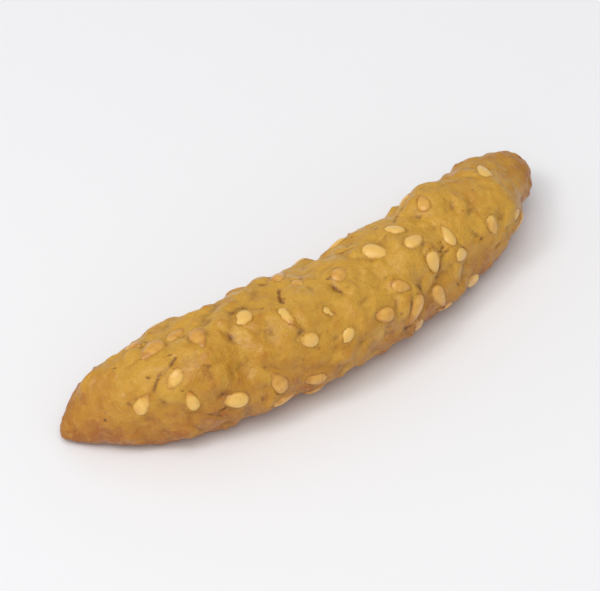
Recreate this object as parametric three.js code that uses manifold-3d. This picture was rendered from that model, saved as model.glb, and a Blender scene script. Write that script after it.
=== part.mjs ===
// A sesame stick: one piece of fried wheat dough with sesame seeds set in its crust.
// Millimetres, +Z up. It lies along X on the flat of its underside, with its pointed tip at -X,
// its blunt heel at +X and its middle bowed towards -Y.
// The origin is under the middle of its bounding box.
import * as THREE from "three";
import { mergeVertices } from "three/addons/utils/BufferGeometryUtils.js";
import Module from "manifold-3d";

// Dough: overall sizes before the seeds, and the shares of the length that shape its outline
const LENGTH = 48;
const WIDTH = 9.6;
const HEIGHT = 8.7;
const BOW = 5.0;
const FLAT_DEPTH = 0.4;
const NOSE_SHARE = 0.234;
const NOSE_POWER = 0.72;
const HEEL_SHARE = 0.247;
const HEEL_POWER = 1.3;
const WAIST_PLACE = 0.79;
const WAIST_SPREAD = 0.11;
const WAIST_DEPTH = 0.11;
const TIP_LIFT = 0.21;
const HEEL_LIFT = 0.64;
const SECTION_POWER = 2.25;

// Crust relief: each band of lumps has a wavelength, a typical height and a phase that places its lumps
const LUMP_BANDS = [
  { wavelength: 13, height: 0.28, phase: 0.66 },
  { wavelength: 6.2, height: 0.2, phase: 0.5 },
  { wavelength: 3.1, height: 0.08, phase: 0.94 },
  { wavelength: 2.2, height: 0.06, phase: 0.48 },
];
const WAVES_PER_BAND = 18;
const WAVE_SPREAD = 0.35;
const UNDERSIDE_CALM = 0.75;

// Sesame seeds: a flat drop, narrower towards its point
const SEED_LENGTH = 2.3;
const SEED_WIDTH = 1.4;
const SEED_THICKNESS = 0.9;
const SEED_TAPER = 0.36;
const SEED_SIZE_SPREAD = 0.3;
const SEED_BANDS = 2;
const SEED_SINK = 0.2;
const SEED_SINK_SPREAD = 0.36;
const SEED_TILT = 0.4;
const SEED_PITCH = 0.3;
const SEED_TRIES = 150;
const SEED_SHARE = 0.72;
const SEED_FLOOR_GAP = 1.6;

// Facets
const ROWS = 84;
const COLUMNS = 44;
const SEED_SIDES = 6;
const SEED_RINGS = 4;

// The plastic number's powers spread pairs evenly; the other ratios draw a seed's remaining traits
const PLASTIC = 1.324717957244746;
const GOLDEN = (Math.sqrt(5) - 1) / 2;
const GOLDEN_ANGLE = 2 * Math.PI * GOLDEN;

// Share of the length, and radians, stepped to either side to find the crust's outward direction
const STEP = 1e-3;

const { lerp } = THREE.MathUtils;
const fraction = (x) => x - Math.floor(x);

// Share of the full girth at a share f of the length: a swelling nose, a waist and a rounded heel
function girth(f) {
  const nose = Math.min(f / NOSE_SHARE, 1);
  const heel = Math.max((f - 1) / HEEL_SHARE + 1, 0);
  const waist = 1 - WAIST_DEPTH * Math.exp(-(((f - WAIST_PLACE) / WAIST_SPREAD) ** 2));
  const swell = (1 - (1 - nose) ** 2) ** NOSE_POWER;
  return waist * swell * Math.sqrt(Math.max(1 - heel ** HEEL_POWER, 0));
}

// The dough's outline from tip to heel, which spaces the rows evenly over the crust
class CrustLine extends THREE.Curve {
  getPoint(t, target = new THREE.Vector3()) {
    return target.set(LENGTH * t, (WIDTH / 2) * girth(t), 0);
  }
}

// Point of the smooth dough at a share f of the length and an angle round the bowed centreline
function doughPoint(f, angle) {
  const lift = lerp(TIP_LIFT, HEEL_LIFT, f);
  const side = -BOW * (1 - (2 * f - 1) ** 2);
  const rise = (HEIGHT / 2) * lerp(girth(f), 1, lift);
  const c = Math.cos(angle);
  const s = Math.sin(angle);
  const squareness = Math.abs(c) ** SECTION_POWER + Math.abs(s) ** SECTION_POWER;
  const reach = girth(f) * squareness ** (-1 / SECTION_POWER);
  const across = side + (WIDTH / 2) * reach * c;
  const up = rise + (HEIGHT / 2) * reach * s;
  return new THREE.Vector3(LENGTH * (f - 0.5), across, up);
}

// Outward direction of one of the stick's surfaces, from two short steps over it
function outward(surface, f, angle) {
  if (f <= 0 || f >= 1) return new THREE.Vector3(Math.sign(f - 0.5), 0, 0);
  const inner = THREE.MathUtils.clamp(f, 2 * STEP, 1 - 2 * STEP);
  const along = surface(inner + STEP, angle).sub(surface(inner - STEP, angle));
  const round = surface(inner, angle + STEP).sub(surface(inner, angle - STEP));
  return round.cross(along).normalize();
}

// Height of one band of lumps: plane waves whose directions spiral evenly over the sphere
function lumps(point, { wavelength, height, phase }) {
  let sum = 0;
  for (let k = 0; k < WAVES_PER_BAND; k++) {
    const up = 1 - (2 * k + 1) / WAVES_PER_BAND;
    const flat = Math.sqrt(1 - up * up);
    const turn = k * GOLDEN_ANGLE;
    const direction = new THREE.Vector3(flat * Math.cos(turn), flat * Math.sin(turn), up);
    const cycles = (point.dot(direction) / wavelength) * (1 + WAVE_SPREAD * fraction(k * GOLDEN));
    sum += Math.sin(2 * Math.PI * (cycles + k / PLASTIC + phase));
  }
  return height * sum * Math.sqrt(2 / WAVES_PER_BAND);
}

// Point of the crust: the smooth dough raised or sunk by bands of lumps.
// They die down at the thin ends and are pressed calmer underneath.
function crustPoint(f, angle, bands = LUMP_BANDS) {
  const point = doughPoint(f, angle);
  const out = outward(doughPoint, f, angle);
  const calm = girth(f) * (1 - UNDERSIDE_CALM * Math.max(-out.z, 0) ** 2);
  const relief = bands.reduce((sum, band) => sum + lumps(point, band), 0);
  return point.addScaledVector(out, calm * relief);
}

// Point of the crust with its broad lumps alone, which the seeds lie on
const broadCrust = (f, angle) => crustPoint(f, angle, LUMP_BANDS.slice(0, SEED_BANDS));

// Closed dough surface: a sphere's grid carried onto the crust
function doughGeometry() {
  const line = new CrustLine();
  const sphere = new THREE.SphereGeometry(1, COLUMNS, ROWS);
  const { position, uv } = sphere.attributes;
  for (let i = 0; i < position.count; i++) {
    const f = line.getUtoTmapping(1 - uv.getY(i));
    const point = crustPoint(f, f > 0 && f < 1 ? -2 * Math.PI * uv.getX(i) : 0);
    position.setXYZ(i, point.x, point.y, point.z);
  }
  return sphere;
}

// One sesame seed about its own centre: long axis X, flat across Z, point towards +X
function seedGeometry(size) {
  const seed = new THREE.SphereGeometry(0.5, SEED_SIDES, SEED_RINGS).rotateZ(-Math.PI / 2);
  const { position } = seed.attributes;
  for (let i = 0; i < position.count; i++) {
    const narrowing = 1 - 2 * SEED_TAPER * position.getX(i);
    position.setXYZ(
      i,
      position.getX(i) * SEED_LENGTH * size,
      position.getY(i) * SEED_WIDTH * size * narrowing,
      position.getZ(i) * SEED_THICKNESS * size * narrowing,
    );
  }
  return seed;
}

// Seeds pressed into the crust, evenly spread by rule; the ends and the underside get fewer.
// The crust's finer lumps bury some of them and bare others.
function seedGeometries() {
  const seeds = [];
  for (let i = 1; i <= SEED_TRIES; i++) {
    const f = fraction(i / PLASTIC);
    const angle = 2 * Math.PI * fraction(i / PLASTIC ** 2);
    const point = broadCrust(f, angle);
    if (fraction(i * Math.SQRT2) > SEED_SHARE * girth(f) ** 2 || point.z < SEED_FLOOR_GAP) continue;
    const size = 1 + SEED_SIZE_SPREAD * (fraction(i * Math.E) - 0.5);
    const sink = SEED_THICKNESS * (SEED_SINK_SPREAD * (fraction(i * Math.sqrt(7)) - 0.5) - SEED_SINK);
    const out = outward(broadCrust, f, angle);
    const long = new THREE.Vector3(1, 0, 0).cross(out).normalize().applyAxisAngle(out, i * GOLDEN_ANGLE);
    const tilt = SEED_TILT * (fraction(i * Math.sqrt(11)) - 0.5);
    const pitch = SEED_PITCH * (fraction(i * Math.sqrt(13)) - 0.5);
    const place = new THREE.Matrix4().makeBasis(long, out.clone().cross(long), out);
    place.setPosition(point.addScaledVector(out, sink));
    seeds.push(seedGeometry(size).rotateY(pitch).rotateX(tilt).applyMatrix4(place));
  }
  return seeds;
}

const wasm = await Module();
wasm.setup();

// Closed geometry as a solid that can be joined and cut
function solid(geometry) {
  const bare = geometry.clone();
  bare.deleteAttribute("normal");
  bare.deleteAttribute("uv");
  const merged = mergeVertices(bare);
  const vertProperties = new Float32Array(merged.attributes.position.array);
  const triVerts = new Uint32Array(merged.index.array);
  return new wasm.Manifold(new wasm.Mesh({ numProp: 3, vertProperties, triVerts }));
}

// Solid back as a geometry
function geometryOf(manifold) {
  const { vertProperties, triVerts } = manifold.getMesh();
  const geometry = new THREE.BufferGeometry();
  geometry.setAttribute("position", new THREE.BufferAttribute(vertProperties, 3));
  geometry.setIndex(new THREE.BufferAttribute(triVerts, 1));
  geometry.computeVertexNormals();
  return geometry;
}

// Dough and seeds fused, then cut level underneath to leave the flat that the stick rests on
function stickGeometry() {
  const below = new THREE.BoxGeometry(2 * LENGTH, 4 * WIDTH, 2 * HEIGHT);
  below.translate(0, 0, FLAT_DEPTH - HEIGHT);
  const fused = seedGeometries().reduce((joined, seed) => joined.add(solid(seed)), solid(doughGeometry()));
  return geometryOf(fused.subtract(solid(below)));
}

const crust = new THREE.MeshStandardMaterial({ color: 0xc39345, roughness: 0.6, metalness: 0 });
const stick = new THREE.Mesh(stickGeometry(), crust);
stick.name = "sesame_stick";
stick.geometry.computeBoundingBox();
const middle = stick.geometry.boundingBox.getCenter(new THREE.Vector3());
stick.position.set(-middle.x, -middle.y, -FLAT_DEPTH);

const part = new THREE.Group();
part.add(stick);

export default part;
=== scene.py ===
# One sesame stick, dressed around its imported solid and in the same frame, in metres.
import itertools
import math

import bpy
import numpy as np
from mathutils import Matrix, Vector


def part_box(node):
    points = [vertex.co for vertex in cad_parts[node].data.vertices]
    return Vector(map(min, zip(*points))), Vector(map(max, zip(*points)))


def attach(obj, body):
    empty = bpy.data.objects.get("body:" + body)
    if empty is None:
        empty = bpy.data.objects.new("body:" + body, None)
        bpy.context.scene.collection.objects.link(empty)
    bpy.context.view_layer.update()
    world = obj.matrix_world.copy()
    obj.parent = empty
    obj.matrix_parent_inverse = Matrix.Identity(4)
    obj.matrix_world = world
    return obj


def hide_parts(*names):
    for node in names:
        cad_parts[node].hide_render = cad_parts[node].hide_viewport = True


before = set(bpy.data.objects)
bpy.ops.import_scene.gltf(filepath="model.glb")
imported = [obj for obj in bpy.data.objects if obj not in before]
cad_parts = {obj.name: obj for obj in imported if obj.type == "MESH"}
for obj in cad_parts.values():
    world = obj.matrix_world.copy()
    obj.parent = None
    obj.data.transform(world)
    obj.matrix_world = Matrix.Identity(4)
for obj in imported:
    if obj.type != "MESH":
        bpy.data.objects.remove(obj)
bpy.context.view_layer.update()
node_low, node_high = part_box("sesame_stick")

# Dough stick
# Wheat dough pressed through a round die, torn off in short lengths and fried in oil until it swells,
# bows and crusts over. One end draws out to a point, the other stays blunt, and the underside has
# settled flat. Its shape is worked out in millimetres and put into the mesh in metres.
MM = 0.001
LENGTH, WIDTH, HEIGHT = 48.0, 9.6, 8.7
BOW = 5.0
FLAT_DEPTH = 0.4
NOSE_SHARE, NOSE_POWER = 0.234, 0.72
HEEL_SHARE, HEEL_POWER = 0.247, 1.3
WAIST_PLACE, WAIST_SPREAD, WAIST_DEPTH = 0.79, 0.11, 0.11
TIP_LIFT, HEEL_LIFT = 0.21, 0.64
SECTION_POWER = 2.25
NORMAL_STEP = 1e-3


def unit(vectors):
    """Each vector divided by its own length."""
    return vectors / np.linalg.norm(vectors, axis=-1, keepdims=True)


def smooth(value, start, end):
    """A smooth step, 3t^2 - 2t^3, from 0 at start to 1 at end."""
    t = np.clip((value - start) / (end - start), 0, 1)
    return t * t * (3 - 2 * t)


def girth(f):
    """Share of the full girth at a share f of the length: a nose that swells as a power curve, times
    a waist, times a heel that is rounded off."""
    nose = np.minimum(f / NOSE_SHARE, 1)
    heel = np.maximum((f - 1) / HEEL_SHARE + 1, 0)
    waist = 1 - WAIST_DEPTH * np.exp(-(((f - WAIST_PLACE) / WAIST_SPREAD) ** 2))
    return waist * (1 - (1 - nose) ** 2) ** NOSE_POWER * np.sqrt(np.maximum(1 - heel**HEEL_POWER, 0))


def smooth_dough(f, angle):
    """The dough without its relief: superellipses of the girth's size round a centreline that bows
    sideways as a parabola and is lifted at the thin ends."""
    size = girth(f)
    lift = TIP_LIFT + (HEEL_LIFT - TIP_LIFT) * f
    side = -BOW * (1 - (2 * f - 1) ** 2)
    rise = HEIGHT / 2 * (size + (1 - size) * lift)
    c, s = np.cos(angle), np.sin(angle)
    reach = size * (np.abs(c) ** SECTION_POWER + np.abs(s) ** SECTION_POWER) ** (-1 / SECTION_POWER)
    return np.stack([LENGTH * (f - 0.5), side + WIDTH / 2 * reach * c, rise + HEIGHT / 2 * reach * s], -1)


def outward(f, angle, surface=smooth_dough):
    """Unit normals of a surface: the cross product of two short central steps over it, or along X at
    the very ends."""
    inner = np.clip(f, 2 * NORMAL_STEP, 1 - 2 * NORMAL_STEP)
    along = surface(inner + NORMAL_STEP, angle) - surface(inner - NORMAL_STEP, angle)
    around = surface(inner, angle + NORMAL_STEP) - surface(inner, angle - NORMAL_STEP)
    normals = unit(np.cross(around, along))
    end = ((f <= 0) | (f >= 1))[..., None]
    return np.where(end, np.stack([np.sign(f - 0.5), 0 * f, 0 * f], -1), normals)


# Broad lumps, the same as the solid's: each band has a wavelength, a typical height and a phase
LUMP_BANDS = ((13, 0.28, 0.66), (6.2, 0.2, 0.5), (3.1, 0.08, 0.94), (2.2, 0.06, 0.48))
WAVES_PER_BAND, WAVE_SPREAD = 18, 0.35
UNDERSIDE_CALM = 0.75
PLASTIC = 1.324717957244746
GOLDEN = (math.sqrt(5) - 1) / 2
GOLDEN_ANGLE = 2 * math.pi * GOLDEN


def lumps(points, wavelength, height, phase):
    """One band of lumps: a sum of sine waves whose directions spiral evenly over the sphere."""
    k = np.arange(WAVES_PER_BAND)
    up = 1 - (2 * k + 1) / WAVES_PER_BAND
    flat = np.sqrt(1 - up * up)
    ways = np.stack([flat * np.cos(k * GOLDEN_ANGLE), flat * np.sin(k * GOLDEN_ANGLE), up])
    cycles = points @ ways / wavelength * (1 + WAVE_SPREAD * (k * GOLDEN % 1)) + k / PLASTIC + phase
    return height * np.sin(2 * np.pi * cycles).sum(-1) * math.sqrt(2 / WAVES_PER_BAND)


def lumpy_crust(f, angle, bands=LUMP_BANDS):
    """The dough moved along its normals by the sum of the bands of lumps, which die down at the thin
    ends and are pressed calmer underneath."""
    points, normals = smooth_dough(f, angle), outward(f, angle)
    relief = sum(lumps(points, *band) for band in bands)
    calm = girth(f) * (1 - UNDERSIDE_CALM * np.maximum(-normals[..., 2], 0) ** 2)
    return points + normals * (calm * relief)[..., None]


# The seeds' places, the same as the solid's, come with the dough, because it closes round each of them.
# The ratios draw a seed's traits: whether it is there, its size, its depth, its tilt and its pitch.
SEED_LENGTH, SEED_WIDTH, SEED_THICKNESS = 2.3, 1.4, 0.9
SEED_TAPER = 0.36
SEED_SIZE_SPREAD = 0.3
SEED_BANDS = 2
SEED_SINK, SEED_SINK_SPREAD = 0.2, 0.36
BURIED_SINK = 0.5
SEED_TILT, SEED_PITCH = 0.4, 0.3
SEED_TRIES, SEED_SHARE = 150, 0.72
SEED_FLOOR_GAP = 1.6
THERE_RATIO, SIZE_RATIO, SINK_RATIO = math.sqrt(2), math.e, math.sqrt(7)
TILT_RATIO, PITCH_RATIO = math.sqrt(11), math.sqrt(13)


def broad_crust(f, angle):
    """The dough with its broad lumps alone, which the seeds lie on."""
    return lumpy_crust(f, angle, LUMP_BANDS[:SEED_BANDS])


def draw(numbers, ratio):
    """Shares from 0 to 1, evenly spread by rule: the fractional parts of whole numbers times an
    irrational ratio."""
    return numbers * ratio % 1.0


def turned(first, second, angle):
    """Two perpendicular axes turned in their own plane, first towards second, by an angle."""
    c, s = np.cos(angle)[:, None], np.sin(angle)[:, None]
    return first * c + second * s, second * c - first * s


def seed_places(numbers, sunk=0.0):
    """Centres, sizes and axes of seeds pressed along the normals into the broad lumps, each turned by
    the golden angle, without those drawn to be left out or too near the floor."""
    f, angle = draw(numbers, 1 / PLASTIC), 2 * np.pi * draw(numbers, PLASTIC**-2)
    points, out = broad_crust(f, angle), outward(f, angle, broad_crust)
    fits = (draw(numbers, THERE_RATIO) <= SEED_SHARE * girth(f) ** 2) & (points[:, 2] >= SEED_FLOOR_GAP)
    numbers, points, out = numbers[fits], points[fits], out[fits]
    size = 1 + SEED_SIZE_SPREAD * (draw(numbers, SIZE_RATIO) - 0.5)
    sink = SEED_THICKNESS * (SEED_SINK_SPREAD * (draw(numbers, SINK_RATIO) - 0.5) - SEED_SINK - sunk)
    level = unit(np.cross([1.0, 0, 0], out))
    long, across = turned(level, np.cross(out, level), numbers * GOLDEN_ANGLE)
    tilted, up = turned(across, out, SEED_TILT * (draw(numbers, TILT_RATIO) - 0.5))
    pitched, up = turned(long, up, -SEED_PITCH * (draw(numbers, PITCH_RATIO) - 0.5))
    return {
        "number": numbers,
        "size": size,
        "centre": points + out * sink[:, None],
        "axes": np.stack([pitched, tilted, up], 1),
    }


seeds = seed_places(np.arange(1, SEED_TRIES + 1))
buried = seed_places(np.arange(SEED_TRIES + 1, 2 * SEED_TRIES + 1), sunk=BURIED_SINK)

# Random lattices: a direction and a point for every unit cube, repeating after a number of cubes.
# Noise made from them is brought to about -1 to 1, and each of its layers is shifted from the last.
LATTICE = 64
DICE_SEED = 20
NOISE_GAIN = 1.7
LAYER_SHIFT = 9.7
dice = np.random.default_rng(DICE_SEED)
PULLS = unit(dice.normal(size=(LATTICE, LATTICE, LATTICE, 3)))
STREWN = dice.random((LATTICE, LATTICE, LATTICE, 3))


def in_lattice(values, cubes):
    """The lattice's value for each cube."""
    return values[tuple(np.moveaxis(cubes % LATTICE, -1, 0))]


def noise(points, wavelength, layers=1):
    """Gradient noise: each cube corner's direction times the offset from it, blended over the cube by a
    smooth step; each further layer is half as long and half as high."""
    place = points / wavelength
    cube = np.floor(place).astype(int)
    rest = place - cube
    ease = rest**3 * (rest * (6 * rest - 15) + 10)
    total = np.zeros(points.shape[:-1])
    for corner in itertools.product((0, 1), repeat=3):
        weight = np.where(corner, ease, 1 - ease).prod(-1)
        total += weight * (in_lattice(PULLS, cube + corner) * (rest - corner)).sum(-1)
    if layers == 1:
        return NOISE_GAIN * total
    return NOISE_GAIN * total + noise(points + LAYER_SHIFT * wavelength, wavelength / 2, layers - 1) / 2


def grains(points, wavelength):
    """Distances, in wavelengths, to the nearest and the next nearest of points strewn one to a cube."""
    place = points / wavelength
    cube = np.floor(place).astype(int)
    nearest = np.full(points.shape[:-1], np.inf)
    second = nearest.copy()
    for step in itertools.product((-1, 0, 1), repeat=3):
        distance = np.linalg.norm(cube + step + in_lattice(STREWN, cube + step) - place, axis=-1)
        second = np.minimum(second, np.maximum(nearest, distance))
        nearest = np.minimum(nearest, distance)
    return nearest, second


def spots(points, centres, radii):
    """Round spots on the crust: (1 - d^2/r^2)^2 inside each radius and 0 outside it; where spots meet,
    the higher."""
    height = np.zeros(points.shape[:-1])
    for centre, radius in zip(centres, radii):
        share = ((points - centre) ** 2).sum(-1) / radius**2
        height = np.maximum(height, np.clip(1 - share, 0, 1) ** 2)
    return height


def strewn_spots(points, count, radii, along_ratio, around_ratio):
    """Round spots spread over the whole crust by rule, most of them near the smaller of two radii."""
    numbers = np.arange(1, count + 1)
    centres = lumpy_crust(draw(numbers, along_ratio), 2 * np.pi * draw(numbers, around_ratio))
    return spots(points, centres, radii[0] + (radii[1] - radii[0]) * draw(numbers, math.sqrt(5)) ** 2)


NARROWING_RANGE = (0.4, 1.6)


def seed_outlines(points, places):
    """For each seed in turn: how far out points lie, 1 at its outline seen from above; how near its
    level they are; and how far the seed's upper face, half an ellipsoid, stands over them."""
    for centre, size, axes in zip(places["centre"], places["size"], places["axes"]):
        x, y, z = np.moveaxis((points - centre) @ axes.T / size, -1, 0)
        near = np.exp(-(z**4))
        x, y = x / (SEED_LENGTH / 2), y / (SEED_WIDTH / 2)
        narrowing = np.clip(1 - SEED_TAPER * x, *NARROWING_RANGE)
        out = np.hypot(x, y / narrowing)
        top = SEED_THICKNESS / 2 * narrowing * np.sqrt(np.clip(1 - out**2, 0, 1)) - z
        yield out, near, top * size


# The crust's grid, with rows spaced evenly along the outline
ROWS, COLUMNS = 420, 232
OUTLINE_SAMPLES = 4001


def even_rows(count):
    """Shares of the length that cut the outline, measured over many samples, into equal runs."""
    f = (1 - np.cos(np.linspace(0, np.pi, OUTLINE_SAMPLES))) / 2
    run = np.hypot(np.diff(LENGTH * f), np.diff(WIDTH / 2 * girth(f)))
    length = np.concatenate([[0], np.cumsum(run)])
    return np.interp(np.linspace(0, length[-1], count + 1), length, f)


angles = np.arange(COLUMNS) * 2 * np.pi / COLUMNS
f_grid, angle_grid = np.meshgrid(even_rows(ROWS), angles, indexing="ij")
crust, normals = broad_crust(f_grid, angle_grid), outward(f_grid, angle_grid)
relief = ((lumpy_crust(f_grid, angle_grid) - crust) * normals).sum(-1)

# Fried texture: swellings, grain that is coarser in some patches, a fine tooth, blisters, pits and
# short cracks. Noise bends the finer patterns, and shifts keep one kind of noise apart from another.
WARP, WARP_WAVELENGTH, WARP_SHIFTS = 0.22, 0.9, (0.0, 37.0, 71.0)
PATCH_WAVELENGTH = 5.0
COARSE_SHIFT, COARSE_FROM, COARSE_TO, COARSE_LEAST = 13.0, -0.25, 0.45, 0.4
SWELL_WAVELENGTH, SWELL = 2.6, 0.1
GRAIN_BANDS = ((1.2, 0.11), (0.62, 0.06))
GRAIN_LEVEL, GRAIN_POWER = 0.55, 1.5
TOOTH_WAVELENGTH, TOOTH = 0.5, 0.035
BLISTERS, BLISTER_RADII, BLISTER = 420, (0.25, 0.9), 0.1
PITS, PIT_RADII, PIT = 90, (0.15, 0.36), 0.16
CRACK_WAVELENGTH, CRACK_WIDTH, CRACK_DEPTH = 5.5, 0.03, 0.2
CRACK_STRETCH = (0.6, 1.0, 1.0)
CRACK_SHIFT, CRACK_FROM, CRACK_TO = 53.0, 0.25, 0.5
warp = np.stack([noise(crust + shift, WARP_WAVELENGTH, layers=2) for shift in WARP_SHIFTS], -1)
warped = crust + WARP * warp
coarse_patches = smooth(noise(crust + COARSE_SHIFT, PATCH_WAVELENGTH), COARSE_FROM, COARSE_TO)
coarse = COARSE_LEAST + (1 - COARSE_LEAST) * coarse_patches
relief += SWELL * noise(crust, SWELL_WAVELENGTH, layers=2)
for wavelength, height in GRAIN_BANDS:
    nearest, _ = grains(warped, wavelength)
    relief += coarse * height * (GRAIN_LEVEL - np.minimum(nearest, 1.0) ** GRAIN_POWER)
relief += TOOTH * noise(warped, TOOTH_WAVELENGTH, layers=2)
relief += BLISTER * strewn_spots(warped, BLISTERS, BLISTER_RADII, GOLDEN, math.sqrt(2))
relief -= PIT * strewn_spots(warped, PITS, PIT_RADII, math.sqrt(3), GOLDEN)
first, second = grains(warped * CRACK_STRETCH, CRACK_WAVELENGTH)
crack_patches = smooth(noise(crust + CRACK_SHIFT, PATCH_WAVELENGTH), CRACK_FROM, CRACK_TO)
relief -= CRACK_DEPTH * (np.exp(-(((second - first) / CRACK_WIDTH) ** 2)) * crack_patches)

# Dough round the seeds: it swells over buried ones, laps up to the others as a thin film, and makes a
# bed under what shows of them, with a ragged edge. Edges are in shares of a seed's outline.
COVER, COVER_EDGE, COVER_TOP = 0.2, 1.15, 0.45
FILM, FILM_EDGE, FILM_TOP = 0.04, 1.4, 1.0
BED, BED_EDGE, BED_TOP, BED_RISE = 0.12, 1.02, 0.88, 0.12
RAGGED_WAVELENGTH, RAGGED = 0.8, 0.1
covered = np.zeros_like(relief)
for out, near, _ in seed_outlines(crust, buried):
    covered = np.maximum(covered, near * smooth(out, COVER_EDGE, COVER_TOP))
relief += COVER * covered
# Painted shade: the band where each seed's edge meets the dough, later darkened as if shade fell there
seed_edge_shade = np.zeros_like(relief)
ragged = RAGGED * noise(crust, RAGGED_WAVELENGTH, layers=2)
for out, near, top in seed_outlines(crust, seeds):
    relief += near * smooth(out, FILM_EDGE, FILM_TOP) * (np.maximum(relief / 2, top + FILM) - relief)
    shown = near * smooth(out, BED_EDGE, BED_TOP) * smooth(top + ragged, 0.0, BED_RISE)
    relief += shown * (top - BED - relief)
    seed_edge_shade = np.maximum(seed_edge_shade, 4 * shown * (1 - shown))
shape = crust + normals * relief[..., None]
shape[..., 2] = np.maximum(shape[..., 2], FLAT_DEPTH)

# The stick's own middle, taken over the dough and the seeds' ends, lies at the middle of its node
seed_tips = seeds["centre"][:, None] + np.array([-0.5, 0.5])[:, None] * seeds["axes"][:, :1] * SEED_LENGTH
reach = np.concatenate([shape.reshape(-1, 3), seed_tips.reshape(-1, 3)])
middle = (reach.min(0) + reach.max(0)) / 2 - np.array((node_low + node_high) / 2) / MM


def to_frame(points):
    """From millimetres about the stick's own middle to metres in the part's frame, on its floor."""
    return (points - (middle[0], middle[1], FLAT_DEPTH)) * MM


def new_piece(name, vertices, faces):
    """A smooth-shaded mesh piece at the origin, from arrays of points and of faces."""
    mesh = bpy.data.meshes.new(name)
    mesh.from_pydata(vertices.tolist(), [], faces)
    mesh.polygons.foreach_set("use_smooth", np.ones(len(mesh.polygons), bool))
    mesh.update()
    piece = bpy.data.objects.new(name, mesh)
    bpy.context.scene.collection.objects.link(piece)
    return piece


def value_layer(piece, name, values):
    """A number for every vertex, for the piece's material to read."""
    layer = piece.data.attributes.new(name, "FLOAT", "POINT")
    layer.data.foreach_set("value", np.asarray(values, np.float32).ravel())


def closed_grid(rows, columns, first=0):
    """Outward faces of a grid that wraps round, closed by a fan at each end; its points are one tip, then
    the rows, then the other tip."""
    start = first + 1 + np.arange(rows)[:, None] * columns + np.arange(columns)
    right = np.roll(start, -1, 1)
    quads = np.stack([start[:-1], right[:-1], right[1:], start[1:]], -1).reshape(-1, 4)
    tip = np.stack([np.full(columns, first), right[0], start[0]], -1)
    heel = np.stack([np.full(columns, first + 1 + rows * columns), start[-1], right[-1]], -1)
    return quads.tolist() + tip.tolist() + heel.tolist()


def with_tips(grid):
    """A grid's inner rows between its two end rows, each of which is one point."""
    return np.concatenate([grid[0, :1], grid[1:-1].reshape((-1,) + grid.shape[2:]), grid[-1, :1]])


def blurred(height, times):
    """A grid of heights averaged with its neighbours a number of times; the columns wrap round."""
    for _ in range(times):
        padded = np.pad(height, ((1, 1), (0, 0)), mode="edge")
        height = (padded[:-2] + padded[2:] + np.roll(height, 1, 1) + np.roll(height, -1, 1)) / 4
    return height


# What the crust's material reads: creases and seed edges get painted shade, a darker colour where shade
# falls;
# ridges, the thin ends and broad patches are browner; and the lower sides are browner, partly from frying
# and partly as painted shade.
BLUR_TIMES = 14
# Painted shade: creases of the fine relief and the seeds' edges take a darker colour where shade would
# fall
CREASE_SHADE_DEPTH, CREASE_SHADE_POWER, SEED_EDGE_SHADE_SHARE = 0.13, 1.8, 0.45
RIDGE_HEIGHT = 0.14
END_GIRTH = 1.1
# Browner lower sides: partly browning in the fryer, partly painted shade
TOAST, TOAST_ENDS, TOAST_PATCHES, BELOW_BROWNING_AND_SHADE = 0.56, 0.4, 0.28, 0.42
TOAST_SHIFT, TOAST_WAVELENGTH = 47.0, 9.0
fine_relief = relief - blurred(relief, BLUR_TIMES)
# Painted shade in the creases: the deeper a crease, the more of the dark colour
crease_shade = np.clip(-fine_relief / CREASE_SHADE_DEPTH, 0, 1) ** CREASE_SHADE_POWER
ridge = np.clip(fine_relief / RIDGE_HEIGHT, 0, 1)
ends = np.clip(END_GIRTH - girth(f_grid), 0, 1)
toast_patches = TOAST_PATCHES * noise(crust + TOAST_SHIFT, TOAST_WAVELENGTH)
# Lower sides browner and the top paler, partly from frying and partly as painted shade
toast = TOAST + TOAST_ENDS * ends + toast_patches - BELOW_BROWNING_AND_SHADE * normals[..., 2]
dough_piece = new_piece("dough", to_frame(with_tips(shape)), closed_grid(ROWS - 1, COLUMNS))
# Painted shade for the material to read: creases and seed edges
value_layer(dough_piece, "crease_shade", with_tips(np.maximum(crease_shade, SEED_EDGE_SHADE_SHARE * seed_edge_shade)))
value_layer(dough_piece, "ridge", with_tips(ridge))
value_layer(dough_piece, "covered", with_tips(covered))
value_layer(dough_piece, "toast", with_tips(toast))


def shader_node(tree, kind, inputs=(), **settings):
    """A new shader node; inputs maps a socket's name or number to a value or to the socket that
    feeds it."""
    made = tree.nodes.new(kind)
    for name, value in settings.items():
        setattr(made, name, value)
    for key, value in dict(inputs).items():
        if isinstance(value, bpy.types.NodeSocket):
            tree.links.new(value, made.inputs[key])
        else:
            made.inputs[key].default_value = value
    return made


def blend(tree, share, first, second):
    """Colour socket that mixes two colours by a share."""
    return shader_node(tree, "ShaderNodeMix", {0: share, 6: first, 7: second}, data_type="RGBA").outputs[2]


def ramp(tree, value, start, end, first=0.0, last=1.0):
    """Value socket that goes smoothly from first to last as value goes from start to end."""
    inputs = {0: value, 1: start, 2: end, 3: first, 4: last}
    return shader_node(tree, "ShaderNodeMapRange", inputs, interpolation_type="SMOOTHSTEP").outputs[0]


def maths(tree, operation, *values):
    """Value socket of a sum, product or other operation on values."""
    return shader_node(tree, "ShaderNodeMath", dict(enumerate(values)), operation=operation).outputs[0]


def layer_value(tree, name):
    """Value socket that reads a number stored on the mesh."""
    return shader_node(tree, "ShaderNodeAttribute", attribute_name=name).outputs["Fac"]


def object_place(tree):
    """Socket of the place on the piece, in metres."""
    return shader_node(tree, "ShaderNodeTexCoord").outputs["Object"]


def noise_value(tree, scale, detail, roughness=0.5):
    """Value socket of shader noise over the piece, with scale waves to the metre."""
    inputs = {"Vector": object_place(tree), "Scale": scale, "Detail": detail, "Roughness": roughness}
    return shader_node(tree, "ShaderNodeTexNoise", inputs).outputs[0]


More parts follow.
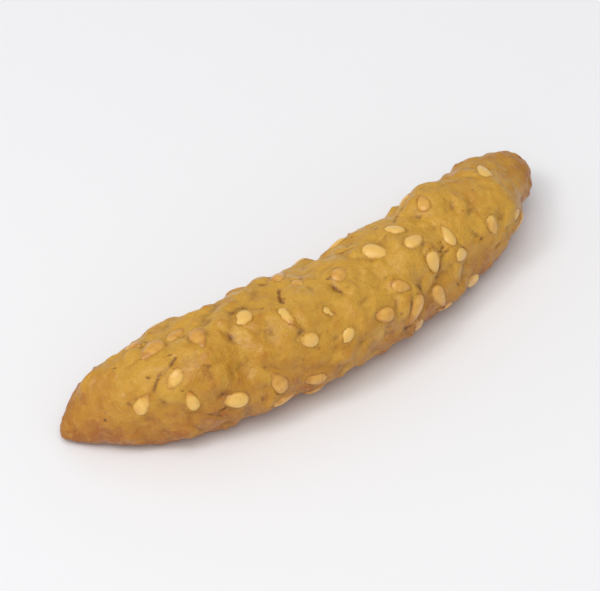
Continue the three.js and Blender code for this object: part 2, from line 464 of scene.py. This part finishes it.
def colour(red, green, blue):
    """A screen colour, 0 to 255, as the linear colour that a shader takes, by the sRGB curve."""
    share = np.array([red, green, blue]) / 255
    linear = np.where(share <= 0.04045, share / 12.92, ((share + 0.055) / 1.055) ** 2.4)
    return (*linear.tolist(), 1.0)


def effect_group(name, inputs, outputs):
    """An empty shader group with named sockets, and its input and output nodes."""
    group = bpy.data.node_groups.new(name, "ShaderNodeTree")
    for label, kind in inputs.items():
        group.interface.new_socket(label, in_out="INPUT", socket_type="NodeSocket" + kind)
    for label, kind in outputs.items():
        group.interface.new_socket(label, in_out="OUTPUT", socket_type="NodeSocket" + kind)
    return group, group.nodes.new("NodeGroupInput").outputs, group.nodes.new("NodeGroupOutput").inputs


FINE_PATCHES = 5.0
GOLDEN_HEAT, BROWN_HEAT = (1.15, 1.6), (1.5, 2.1)


def frying_group():
    """Browning by hot oil: broad and fine patches of noise add to the Toast given, and the sum goes
    from Pale through Golden to Brown; the fourth colour is painted shade, mixed in by the last share over
    what lies low."""
    shades = dict.fromkeys(("Pale", "Golden", "Brown", "Shade Colour"), "Color")
    amounts = dict.fromkeys(("Patches", "Toast", "Painted Shade"), "Float")
    group, given, made = effect_group("frying", shades | amounts, {"Color": "Color", "Browned": "Float"})
    broad = noise_value(group, given["Patches"], detail=3.0)
    fine = noise_value(group, maths(group, "MULTIPLY", given["Patches"], FINE_PATCHES), detail=4.0)
    heat = maths(group, "ADD", maths(group, "ADD", broad, fine), given["Toast"])
    golden = blend(group, ramp(group, heat, *GOLDEN_HEAT), given["Pale"], given["Golden"])
    browned = ramp(group, heat, *BROWN_HEAT)
    brown = blend(group, browned, golden, given["Brown"])
    # Painted shade: the dark colour mixed in over what lies low
    group.links.new(blend(group, given["Painted Shade"], brown, given["Shade Colour"]), made["Color"])
    group.links.new(browned, made["Browned"])
    return group


PORE_EDGE = (0.1, 0.4)


def crumb_group():
    """The fine tooth of a fried crust, as a height: fine noise with small open pores cut into it."""
    group, given, made = effect_group("crumb", {"Grain": "Float"}, {"Height": "Float"})
    rough = noise_value(group, given["Grain"], detail=6.0, roughness=0.65)
    inputs = {"Vector": object_place(group), "Scale": given["Grain"]}
    pores = shader_node(group, "ShaderNodeTexVoronoi", inputs).outputs["Distance"]
    group.links.new(maths(group, "MULTIPLY", rough, ramp(group, pores, *PORE_EDGE)), made["Height"])
    return group


FRYING, CRUMB = frying_group(), crumb_group()


def new_material(name, constants):
    """A node material, its nodes, and its Principled shader with some inputs set to constants."""
    material = bpy.data.materials.new(name)
    material.use_nodes = True
    shader = material.node_tree.nodes["Principled BSDF"]
    for label, value in constants.items():
        shader.inputs[label].default_value = value
    return material, material.node_tree, shader


def add_bump(tree, shader, grain, strength, distance):
    """The crumb's height, at a scale of grain, as a bump on the shader; distance is in metres."""
    crumb = shader_node(tree, "ShaderNodeGroup", {"Grain": grain}, node_tree=CRUMB).outputs["Height"]
    inputs = {"Strength": strength, "Distance": distance, "Height": crumb}
    tree.links.new(shader_node(tree, "ShaderNodeBump", inputs).outputs[0], shader.inputs["Normal"])


DOUGH_SHADES = {
    "Pale": colour(203, 152, 45),
    "Golden": colour(190, 133, 28),
    "Brown": colour(162, 95, 16),
    # Painted shade: the dark colour for creases and seed edges
    "Shade Colour": colour(108, 56, 12),
}
FLOUR_SHADE, FRECKLE_SHADE, BRAN_SHADE = colour(234, 186, 84), colour(164, 94, 20), colour(112, 62, 20)
DOUGH_PATCHES, FLOUR_SCALE, BRAN_SCALE, OIL_SCALE = 230.0, 2300.0, 1100.0, 420.0
RIDGE_TOAST, COVERED_TOAST = 0.4, -0.3
# How far the painted shade in creases darkens the dough
CREASE_SHADE_SHARE = 0.92


def fried_crust():
    """Golden fried dough: patchy browning, painted shade in the creases, pale flour, freckles and bran
    specks, and a dry tooth under an uneven film of oil."""
    material, tree, shader = new_material("fried crust", {
        "Coat Roughness": 0.2,
        "Specular IOR Level": 0.5,
        "Subsurface Weight": 0.08,
        "Subsurface Radius": (1.0, 0.45, 0.15),
        "Subsurface Scale": 0.0005,
    })
    toast = layer_value(tree, "toast")
    toast = maths(tree, "MULTIPLY_ADD", layer_value(tree, "ridge"), RIDGE_TOAST, toast)
    toast = maths(tree, "MULTIPLY_ADD", layer_value(tree, "covered"), COVERED_TOAST, toast)
    # Painted shade from the mesh's creases and seed edges
    crease_shade = maths(tree, "MULTIPLY", layer_value(tree, "crease_shade"), CREASE_SHADE_SHARE)
    inputs = DOUGH_SHADES | {"Patches": DOUGH_PATCHES, "Toast": toast, "Painted Shade": crease_shade}
    fried = shader_node(tree, "ShaderNodeGroup", inputs, node_tree=FRYING).outputs["Color"]
    flour = noise_value(tree, FLOUR_SCALE, detail=3.0)
    dusted = blend(tree, ramp(tree, flour, start=0.52, end=0.68, last=0.2), fried, FLOUR_SHADE)
    freckled = blend(tree, ramp(tree, flour, start=0.46, end=0.34, last=0.12), dusted, FRECKLE_SHADE)
    bran = noise_value(tree, BRAN_SCALE, detail=2.0)
    speckled = blend(tree, ramp(tree, bran, start=0.69, end=0.75, last=0.55), freckled, BRAN_SHADE)
    tree.links.new(speckled, shader.inputs["Base Color"])
    oil = noise_value(tree, OIL_SCALE, detail=3.0)
    roughness = ramp(tree, oil, start=0.35, end=0.65, first=0.52, last=0.34)
    tree.links.new(roughness, shader.inputs["Roughness"])
    tree.links.new(ramp(tree, oil, start=0.4, end=0.7, last=0.2), shader.inputs["Coat Weight"])
    add_bump(tree, shader, grain=3200.0, strength=0.5, distance=0.00014)
    return material


dough_piece.data.materials.append(fried_crust())
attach(dough_piece, "root")
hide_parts("sesame_stick")

# Sesame seeds
# Hulled sesame seeds, flat drops about 2.3 mm long, worked into the dough and fried with it. Most lie
# flush in the crust, turned every way, and they keep a paler, smoother skin than the dough round them.
SEED_RINGS, SEED_SIDES = 9, 12
DISH_DEPTH, DISH_REACH, DISH_POWER = 0.05, 0.3, 3
SHADE_RATIO = math.sqrt(17)


def seed_form():
    """One seed of unit length, width and thickness: an ellipsoid that narrows towards +X, with a bell
    curve of a dish in each face."""
    turns = np.arange(SEED_SIDES) * 2 * np.pi / SEED_SIDES
    from_point, around = np.meshgrid(np.linspace(np.pi, 0, SEED_RINGS + 1), turns, indexing="ij")
    x = np.cos(from_point) / 2
    ring = np.sin(from_point) / 2 * (1 - 2 * SEED_TAPER * x)
    dish = 1 - DISH_DEPTH * np.exp(-((x / DISH_REACH) ** 2)) * np.abs(np.sin(around)) ** DISH_POWER
    return with_tips(np.stack([x, ring * np.cos(around), ring * np.sin(around) * dish], -1))


form = seed_form() * (SEED_LENGTH, SEED_WIDTH, SEED_THICKNESS)
seed_points = seeds["centre"][:, None] + form @ seeds["axes"] * seeds["size"][:, None, None]
seed_count = len(seed_points)
seed_faces = []
for i in range(seed_count):
    seed_faces += closed_grid(SEED_RINGS - 1, SEED_SIDES, i * len(form))
seed_piece = new_piece("seeds", to_frame(seed_points.reshape(-1, 3)), seed_faces)
value_layer(seed_piece, "toast", np.repeat(draw(seeds["number"], SHADE_RATIO), len(form)))
value_layer(seed_piece, "point", np.tile(form[:, 0] / SEED_LENGTH + 0.5, seed_count))
value_layer(seed_piece, "edge", np.tile(1 - np.abs(form[:, 2]) / np.abs(form[:, 2]).max(), seed_count))
rounder = seed_piece.modifiers.new("round", "SUBSURF")
rounder.levels = rounder.render_levels = 1

SEED_SHADES = {
    "Pale": colour(232, 185, 94),
    "Golden": colour(218, 163, 69),
    "Brown": colour(192, 131, 45),
    "Shade Colour": colour(170, 110, 40),
}
SEED_PATCHES = 420.0
SHADE_SPAN, SHADE_LEAST = 0.9, -0.1


def seed_skin():
    """Pale seed skin: cream to toasted gold, each seed its own shade, browner at its point and edge,
    oiled."""
    material, tree, shader = new_material("seed skin", {
        "Coat Weight": 0.3,
        "Coat Roughness": 0.2,
        "Subsurface Weight": 0.25,
        "Subsurface Radius": (1.0, 0.6, 0.3),
        "Subsurface Scale": 0.0006,
    })
    shade = maths(tree, "MULTIPLY_ADD", layer_value(tree, "toast"), SHADE_SPAN, SHADE_LEAST)
    point = ramp(tree, layer_value(tree, "point"), start=0.6, end=1.0, last=0.35)
    edge = ramp(tree, layer_value(tree, "edge"), start=0.25, end=0.75, last=0.45)
    toast = maths(tree, "ADD", edge, maths(tree, "ADD", point, shade))
    inputs = SEED_SHADES | {"Patches": SEED_PATCHES, "Toast": toast, "Painted Shade": 0.0}
    fried = shader_node(tree, "ShaderNodeGroup", inputs, node_tree=FRYING).outputs
    tree.links.new(fried["Color"], shader.inputs["Base Color"])
    roughness = ramp(tree, fried["Browned"], start=0.0, end=1.0, first=0.36, last=0.3)
    tree.links.new(roughness, shader.inputs["Roughness"])
    add_bump(tree, shader, grain=5200.0, strength=0.25, distance=0.00006)
    return material


seed_piece.data.materials.append(seed_skin())
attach(seed_piece, "root")

# Floor, light and camera
# A plain pale floor under broad soft light from above. The camera looks down at the angle of the
# photograph, from the same distance, through a longer lens so that the one stick fills the frame.
FLOOR_HALF = 3.0
FLOOR_SHADE, FLOOR_ROUGHNESS = colour(240, 240, 242), 0.6
corners = np.array([[-1, -1, 0], [1, -1, 0], [1, 1, 0], [-1, 1, 0]]) * FLOOR_HALF
floor = new_piece("floor", corners, [[0, 1, 2, 3]])
floor_constants = {"Base Color": FLOOR_SHADE, "Roughness": FLOOR_ROUGHNESS}
floor.data.materials.append(new_material("pale floor", floor_constants)[0])

WORLD_COLOUR, WORLD_STRENGTH = (1.0, 1.0, 1.0, 1.0), 0.54
world = bpy.data.worlds.new("studio")
world.use_nodes = True
world.node_tree.nodes["Background"].inputs["Color"].default_value = WORLD_COLOUR
world.node_tree.nodes["Background"].inputs["Strength"].default_value = WORLD_STRENGTH
bpy.context.scene.world = world


def soft_box(name, place, size, power):
    """A square soft light that faces the stick, of a size in metres and a power in watts."""
    light = bpy.data.lights.new(name, "AREA")
    light.shape, light.size, light.energy = "SQUARE", size, power
    lamp = bpy.data.objects.new(name, light)
    bpy.context.scene.collection.objects.link(lamp)
    lamp.location = place
    lamp.rotation_euler = (-lamp.location).to_track_quat("-Z", "Y").to_euler()


soft_box("overhead", place=(-0.19, -0.12, 0.52), size=0.5, power=1.5)
soft_box("key", place=(-0.30, 0.04, 0.42), size=0.14, power=0.45)
soft_box("fill", place=(-0.45, -0.35, 0.30), size=0.4, power=0.2)

VIEW_AZIMUTH, VIEW_ELEVATION = math.radians(-38.0), math.radians(45.0)
CAMERA_DISTANCE = 0.51
FRAME_WIDTH = 0.049
CLIP_START = 0.01
camera = bpy.data.objects.new("camera", bpy.data.cameras.new("camera"))
bpy.context.scene.collection.objects.link(camera)
bpy.context.scene.camera = camera
camera.rotation_euler = (math.pi / 2 - VIEW_ELEVATION, 0, VIEW_AZIMUTH)
turn = np.array(camera.rotation_euler.to_matrix())
seen = to_frame(shape).reshape(-1, 3) @ turn
camera.location = turn @ ((seen.min(0) + seen.max(0)) / 2 + (0, 0, CAMERA_DISTANCE))
camera.data.lens = camera.data.sensor_width * CAMERA_DISTANCE / FRAME_WIDTH
camera.data.clip_start = CLIP_START
bpy.context.scene.view_settings.view_transform = "Standard"
